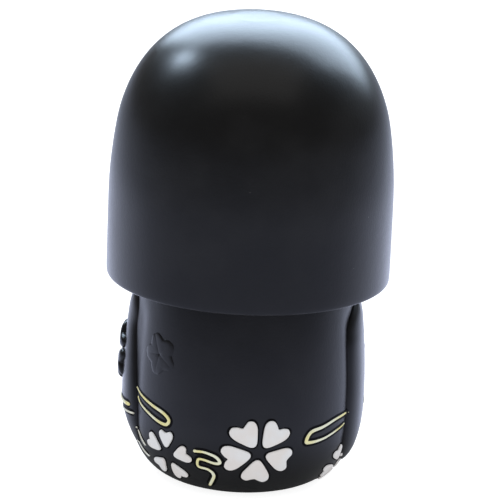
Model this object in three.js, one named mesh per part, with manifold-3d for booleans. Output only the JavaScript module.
// A vinyl art toy: a kokeshi-style doll whose smooth bobbed head swivels on a round kimono body.
// Millimetres, +Z up. The doll faces -Y and its left side is +X. The origin is the centre of its foot.
// An angle on the body is in degrees round the doll: 0 at its back, 90 at its left, 180 at its front.
import * as THREE from "three";
import { mergeVertices } from "three/addons/utils/BufferGeometryUtils.js";
import Module from "manifold-3d";

const wasm = await Module();
wasm.setup();

// ---------- driving dimensions ----------
const HEIGHT = 95; // shelf to crown
const GAP = 0.3; // left between pieces that touch on the real toy
const WALL = 2; // cast vinyl wall of the body

const HAIR = {
  radius: 28.7, // outside of the bob
  wall: 2.2,
  rimZ: 41.7, // flat cut edge of the bob
  crownZ: 57.5, // where the upright wall turns into the crown
  power: 2.5, // superellipse power of the crown: 2 is round, more is squarer
};
const OPENING = { halfWidth: 19, fringeZ: 64, corner: 3 }; // the gap between the side locks

const BODY = {
  radius: 23.4, // widest part of the kimono, without its sleeves
  wideZ: 17, // height of that widest part
  footRadius: 13.85, // outside of the flat ring that the doll stands on
  footHole: 12, // hole in the foot that the base plug closes
  lipZ: 3, // top of the seat round that hole
  shoulderZ: 42,
  shoulderRadius: 21.2,
  deckZ: 44, // flat top of the body
  deckRadius: 17.5, // edge of that flat
};

const FACE = {
  wall: 2.1,
  chinZ: 42.6, // underside of the face
  chinHeight: 6.5, // how far up the chin starts to turn under
  chinDepth: 2.6, // how far in it turns
  chinEdge: 1.2, // thickness at its lower edge
  topZ: 67.5, // hidden upper edge, glued behind the fringe
  backY: -12.3, // hidden side edges, glued behind the side locks
};

const SLEEVE = { thickness: 1, edge: 0.4, roundOver: 0.22 };
// Height, then the angles of the back edge and of the front edge there.
const SLEEVE_OUTLINE = [
  [3.4, 81, 104],
  [5, 72, 124],
  [8.5, 67, 139],
  [13, 65, 152],
  [18, 65.5, 163],
  [23, 67, 170],
  [28, 69, 171],
  [31.5, 70.5, 165],
  [35.5, 73.5, 147],
  [39.3, 85, 113],
];
const COLLAR = { width: 2.6, thickness: 0.8, topZ: 40.9, topAngle: 145, lowZ: 31.2, lowAngle: 186 };
const UNDER_COLLAR = { width: 1.5, rise: 3.1 }; // rise: how far it shows above the outer collar

const POST_RADIUS = 4; // neck post, the axle of the head
const RUNNING_CLEARANCE = 0.1;
const BUSH = { radius: 6, length: 4.3, flangeRadius: 8, flange: 0.8 };
const POST_FLANGE = { radius: 9, thickness: 1.6 };
const PILOT_RADIUS = 1.4; // hole for the neck screw
const SCREW = { shank: 1.1, head: 2.8, headHeight: 1.7, socket: 1.2, socketDepth: 0.6, reach: 8 };
const WASHER_RADIUS = 6.8;
const NECK_WASHER = 0.6;
const WAVE_WASHER = 0.4;
const RETAINING_WASHER = 0.8;
const FLOOR = 2; // plate that closes the head from below

const FINE = 48; // facets round the big shells
const COARSE = 32; // facets round the small turned pieces

// ---------- the neck's stack, from the deck up and then down ----------
const bushTop = BODY.deckZ + GAP + BUSH.flange;
const neckWasherLow = bushTop + GAP;
const floorLow = neckWasherLow + NECK_WASHER + GAP;
const flangeLow = floorLow + FLOOR + GAP;
const pilotTop = flangeLow - 0.6;
const bushLow = bushTop - BUSH.length;
const waveLow = bushLow - GAP - WAVE_WASHER;
const postLow = waveLow;
const retainingLow = postLow - GAP - RETAINING_WASHER;
const screwHeadTop = retainingLow - GAP;

// ---------- outlines as formulas ----------
const radians = THREE.MathUtils.degToRad;
const { lerp, smoothstep } = THREE.MathUtils;
const point = (x, y) => new THREE.Vector2(x, y);
const steps = (low, high, count) =>
  Array.from({ length: count + 1 }, (_, i) => low + ((high - low) * i) / count);

// Outline of the bob from its rim up to the axis, drawn inset by a wall's thickness.
function bobOutline(inset, count) {
  const radius = HAIR.radius - inset;
  const rise = HEIGHT - inset - HAIR.crownZ;
  const crown = steps(0, Math.PI / 2, count).map((a) =>
    point(
      radius * Math.max(0, Math.cos(a)) ** (2 / HAIR.power),
      HAIR.crownZ + rise * Math.sin(a) ** (2 / HAIR.power),
    ),
  );
  crown.at(-1).x = 0;
  return [point(radius, HAIR.rimZ), ...crown];
}

// Radius of the body at a height: an elliptical bowl, a slow taper and a rounded shoulder.
function bodyRadius(z) {
  if (z < BODY.wideZ) {
    const down = (BODY.wideZ - Math.max(z, 0)) / BODY.wideZ;
    return lerp(BODY.footRadius, BODY.radius, Math.sqrt(1 - down * down));
  }
  const up = (Math.min(z, BODY.shoulderZ) - BODY.wideZ) / (BODY.shoulderZ - BODY.wideZ);
  const taper = lerp(BODY.radius, BODY.shoulderRadius, up * up);
  if (z <= BODY.shoulderZ) return taper;
  const turn = Math.min(1, (z - BODY.shoulderZ) / (BODY.deckZ - BODY.shoulderZ));
  return lerp(BODY.deckRadius, taper, Math.sqrt(1 - turn * turn));
}

// ---------- solids ----------
function toSolid(geometry) {
  const bare = geometry.clone();
  for (const name of ["normal", "uv"]) bare.deleteAttribute(name);
  const merged = mergeVertices(bare, 1e-4);
  const corners = Array.from(merged.index.array);
  const whole = (i) => new Set(corners.slice(i, i + 3)).size === 3;
  const triVerts = new Uint32Array(corners.filter((_, i) => whole(i - (i % 3))));
  const vertProperties = new Float32Array(merged.attributes.position.array);
  return new wasm.Manifold(new wasm.Mesh({ numProp: 3, vertProperties, triVerts }));
}

function toGeometry(solid) {
  const mesh = solid.getMesh();
  const geometry = new THREE.BufferGeometry();
  geometry.setAttribute("position", new THREE.BufferAttribute(mesh.vertProperties, 3));
  geometry.setIndex(new THREE.BufferAttribute(mesh.triVerts, 1));
  geometry.computeVertexNormals();
  return geometry;
}

// A turned piece. Its outline's points are [radius, height], with the solid on the outline's left.
function turned(outline, facets = COARSE) {
  const points = outline.map((p) => (Array.isArray(p) ? point(...p) : p));
  const onAxis = points[0].x === 0;
  return new THREE.LatheGeometry(onAxis ? points : [...points, points[0]], facets).rotateX(Math.PI / 2);
}

function ring(inner, outer, low, high, facets) {
  return turned([[inner, low], [outer, low], [outer, high], [inner, high]], facets);
}

// A tall box that holds everything in front of a plane across the doll.
function inFrontOf(y) {
  const side = 3 * HAIR.radius;
  return toSolid(new THREE.BoxGeometry(side, side, side).translate(0, y - side / 2, HAIR.crownZ));
}

// A thin solid that hugs the body. place(u, v), with u and v from 0 to 1, gives the angle, the height
// and the thickness there; the angle falls as u grows and the height rises as v grows.
function hugging(place, across, up) {
  const geometry = new THREE.BoxGeometry(1, 1, 1, across, up, 1);
  const position = geometry.attributes.position;
  for (let i = 0; i < position.count; i++) {
    const { angle, z, thickness } = place(position.getX(i) + 0.5, position.getY(i) + 0.5);
    const radius = bodyRadius(z) + GAP + (position.getZ(i) > 0 ? thickness : 0);
    position.setXYZ(i, radius * Math.sin(radians(angle)), radius * Math.cos(radians(angle)), z);
  }
  geometry.computeVertexNormals();
  return geometry;
}

// ---------- head ----------
const behindHair = HAIR.radius - HAIR.wall - GAP; // outside of what sits inside the bob

function hairCap() {
  const inside = bobOutline(HAIR.wall, 11).reverse();
  const shell = toSolid(turned([...inside, ...bobOutline(0, 13)], FINE));
  return toGeometry(shell.subtract(toSolid(faceOpening())));
}

// The prism that cuts the opening: upright sides and rounded upper corners.
function faceOpening() {
  const { halfWidth, fringeZ, corner } = OPENING;
  const low = HAIR.rimZ - HAIR.wall;
  const outline = new THREE.Shape();
  outline.moveTo(-halfWidth, low);
  outline.lineTo(halfWidth, low);
  outline.absarc(halfWidth - corner, fringeZ - corner, corner, 0, Math.PI / 2);
  outline.absarc(corner - halfWidth, fringeZ - corner, corner, Math.PI / 2, Math.PI);
  outline.closePath();
  const options = { depth: HAIR.radius, bevelEnabled: false, curveSegments: 5 };
  return new THREE.ExtrudeGeometry(outline, options).rotateX(Math.PI / 2).translate(0, -GAP, 0);
}

// A curved mask behind the opening, with a chin that turns under.
function face() {
  const chinTop = FACE.chinZ + FACE.chinHeight;
  const cheekTop = OPENING.fringeZ - 4;
  const chin = steps(0, Math.PI / 2, 5).map((a) =>
    point(
      behindHair - FACE.chinDepth * (1 - Math.sin(a)),
      chinTop - FACE.chinHeight * Math.cos(a),
    ),
  );
  const mask = turned(
    [
      ...chin,
      [behindHair, cheekTop],
      [behindHair - 0.5, FACE.topZ],
      [behindHair - 0.5 - FACE.wall, FACE.topZ],
      [behindHair - FACE.wall, cheekTop],
      [behindHair - FACE.wall, chinTop],
      [behindHair - FACE.chinDepth - FACE.wall + 0.6, FACE.chinZ + 1.5],
      [behindHair - FACE.chinDepth - FACE.chinEdge, FACE.chinZ],
    ],
    FINE,
  );
  return toGeometry(toSolid(mask).intersect(inFrontOf(FACE.backY)));
}

// The plate that closes the head from below, cut back in front to clear the face.
function headFloor() {
  const high = floorLow + FLOOR;
  const behindFace = behindHair - FACE.chinDepth - FACE.chinEdge;
  const plate = toSolid(ring(POST_RADIUS + GAP, behindHair, floorLow, high, FINE));
  const rim = toSolid(ring(behindFace, HAIR.radius, floorLow - GAP, high + GAP, FINE));
  return toGeometry(plate.subtract(rim.intersect(inFrontOf(FACE.backY + GAP))));
}

// ---------- neck swivel ----------
function neckPost() {
  return turned([
    [0, pilotTop],
    [PILOT_RADIUS, pilotTop],
    [PILOT_RADIUS, postLow],
    [POST_RADIUS, postLow],
    [POST_RADIUS, flangeLow],
    [POST_FLANGE.radius, flangeLow],
    [POST_FLANGE.radius, flangeLow + POST_FLANGE.thickness],
    [0, flangeLow + POST_FLANGE.thickness],
  ]);
}

function deckBush() {
  const bore = POST_RADIUS + RUNNING_CLEARANCE;
  return turned([
    [bore, bushLow],
    [BUSH.radius, bushLow],
    [BUSH.radius, BODY.deckZ + GAP],
    [BUSH.flangeRadius, BODY.deckZ + GAP],
    [BUSH.flangeRadius, bushTop],
    [bore, bushTop],
  ]);
}

const neckWasher = () =>
  ring(POST_RADIUS + GAP, POST_FLANGE.radius, neckWasherLow, neckWasherLow + NECK_WASHER);
const waveWasher = () => ring(POST_RADIUS + GAP, WASHER_RADIUS, waveLow, waveLow + WAVE_WASHER);
const retainingWasher = () =>
  ring(PILOT_RADIUS, WASHER_RADIUS, retainingLow, retainingLow + RETAINING_WASHER);

function neckScrew() {
  const bottom = screwHeadTop - SCREW.headHeight;
  const tip = screwHeadTop + SCREW.reach;
  return turned([
    [0, bottom + SCREW.socketDepth],
    [SCREW.socket, bottom + SCREW.socketDepth],
    [SCREW.socket, bottom],
    [SCREW.head - 0.5, bottom],
    [SCREW.head, bottom + 0.5],
    [SCREW.head, screwHeadTop],
    [SCREW.shank, screwHeadTop],
    [SCREW.shank, tip - 0.8],
    [0, tip],
  ]);
}

// ---------- body ----------
// A hollow shell: up its outside, over the deck to the bush's hole, and back down inside to the foot.
function kimonoBody() {
  const hole = BUSH.radius + GAP;
  const underDeck = BODY.deckZ - WALL;
  const outside = [0, 0.3, 1, 2.2, 4, 6.5, 9.5, 13, 18, 24, 30, 36, 42, 43, 43.7];
  const inside = [39, 32, 24, 17, 12, 8, 5.5];
  const outline = [
    ...outside.map((z) => [bodyRadius(z), z]),
    [BODY.deckRadius, BODY.deckZ],
    [hole, BODY.deckZ],
    [hole, underDeck],
    [BODY.deckRadius - 1, underDeck],
    ...inside.map((z) => [bodyRadius(z) - WALL, z]),
    [BODY.footHole + 3, BODY.lipZ],
    [BODY.footHole, BODY.lipZ],
    [BODY.footHole, 0],
  ];
  return turned(outline, FINE);
}

// A stopper with a snap flange inside the body and a vent hole through its middle.
function basePlug() {
  const seat = BODY.footHole - GAP;
  const recess = 0.6;
  const vent = 1;
  const snapLow = BODY.lipZ + GAP;
  return turned(
    [
      [vent, recess],
      [seat - 0.8, recess],
      [seat, recess + 0.8],
      [seat, snapLow],
      [seat + 1.3, snapLow],
      [seat + 0.6, snapLow + 1.2],
      [vent, snapLow + 1.2],
    ],
    FINE,
  );
}

// side is +1 for the doll's left sleeve and -1 for its right one.
function sleeve(side) {
  const edge = (column) => new THREE.SplineCurve(SLEEVE_OUTLINE.map((row) => point(row[0], row[column])));
  const back = edge(1);
  const front = edge(2);
  const swell = (t) => {
    const rise = smoothstep(Math.min(t, 1 - t), 0, SLEEVE.roundOver);
    return Math.sqrt(1 - (1 - rise) ** 2);
  };
  const place = (u, v) => {
    const across = side > 0 ? 1 - u : u;
    const { x: z, y: backAngle } = back.getPoint(v);
    const angle = side * lerp(backAngle, front.getPoint(v).y, across);
    return { angle, z, thickness: lerp(SLEEVE.edge, SLEEVE.thickness, swell(across) * swell(v)) };
  };
  return hugging(place, 16, 20);
}

// A straight band of collar between two places on the body, each given as [angle, height].
function collarBand(from, to, width) {
  const perDegree = radians(1) * BODY.shoulderRadius;
  const run = point((to[0] - from[0]) * perDegree, to[1] - from[1]);
  const side = point(run.y, -run.x).setLength(width);
  const place = (u, v) => ({
    angle: lerp(from[0], to[0], u) + (side.x * (v - 0.5)) / perDegree,
    z: lerp(from[1], to[1], u) + side.y * (v - 0.5),
    thickness: COLLAR.thickness,
  });
  return toSolid(hugging(place, 8, 2));
}

// Two bands that cross over the chest. mirror() swaps left and right about the middle of the front.
function collarPair(from, to, width) {
  const mirror = ([angle, z]) => [360 - angle, z];
  return toGeometry(collarBand(from, to, width).add(collarBand(mirror(from), mirror(to), width)));
}

function kimonoCollar() {
  const { topAngle, topZ, lowAngle, lowZ, width } = COLLAR;
  return collarPair([topAngle, topZ], [lowAngle, lowZ], width);
}

// Parallel to the outer collar and above it, as far as the middle of the chest.
function underCollar() {
  const slope = (COLLAR.lowAngle - COLLAR.topAngle) / (COLLAR.topZ - COLLAR.lowZ);
  const topAngle = COLLAR.topAngle + slope * UNDER_COLLAR.rise;
  const lowZ = COLLAR.topZ - (180 - topAngle) / slope;
  return collarPair([topAngle, COLLAR.topZ], [180, lowZ], UNDER_COLLAR.width);
}

// ---------- finishes ----------
const finish = (color, roughness, metalness = 0) =>
  new THREE.MeshStandardMaterial({ color, roughness, metalness });

const hairBlack = finish(0x17181c, 0.38);
const kimonoBlack = finish(0x131417, 0.42);
const skin = finish(0xf0cdb4, 0.5);
const offWhite = finish(0xe2dddd, 0.45);
const paleGold = finish(0xd6cd8c, 0.45);
const greyPlastic = finish(0x3a3b3f, 0.55);
const acetal = finish(0xe9e7e0, 0.4);
const steel = finish(0xb8bbc0, 0.3, 1);

// ---------- the doll ----------
function piece(name, geometry, material) {
  const mesh = new THREE.Mesh(geometry, material);
  mesh.name = name;
  return mesh;
}

const head = new THREE.Group();
head.add(
  piece("hair_cap", hairCap(), hairBlack),
  piece("face", face(), skin),
  piece("head_floor", headFloor(), greyPlastic),
  piece("neck_post", neckPost(), greyPlastic),
  piece("retaining_washer", retainingWasher(), steel),
  piece("neck_screw", neckScrew(), steel),
);

const body = new THREE.Group();
body.add(
  piece("kimono_body", kimonoBody(), kimonoBlack),
  piece("sleeve_left", sleeve(1), kimonoBlack),
  piece("sleeve_right", sleeve(-1), kimonoBlack),
  piece("kimono_collar", kimonoCollar(), paleGold),
  piece("under_collar", underCollar(), offWhite),
  piece("base_plug", basePlug(), greyPlastic),
  piece("deck_bush", deckBush(), acetal),
  piece("neck_washer", neckWasher(), acetal),
  piece("wave_washer", waveWasher(), steel),
);

const doll = new THREE.Group();
doll.add(body, head);

export default doll;
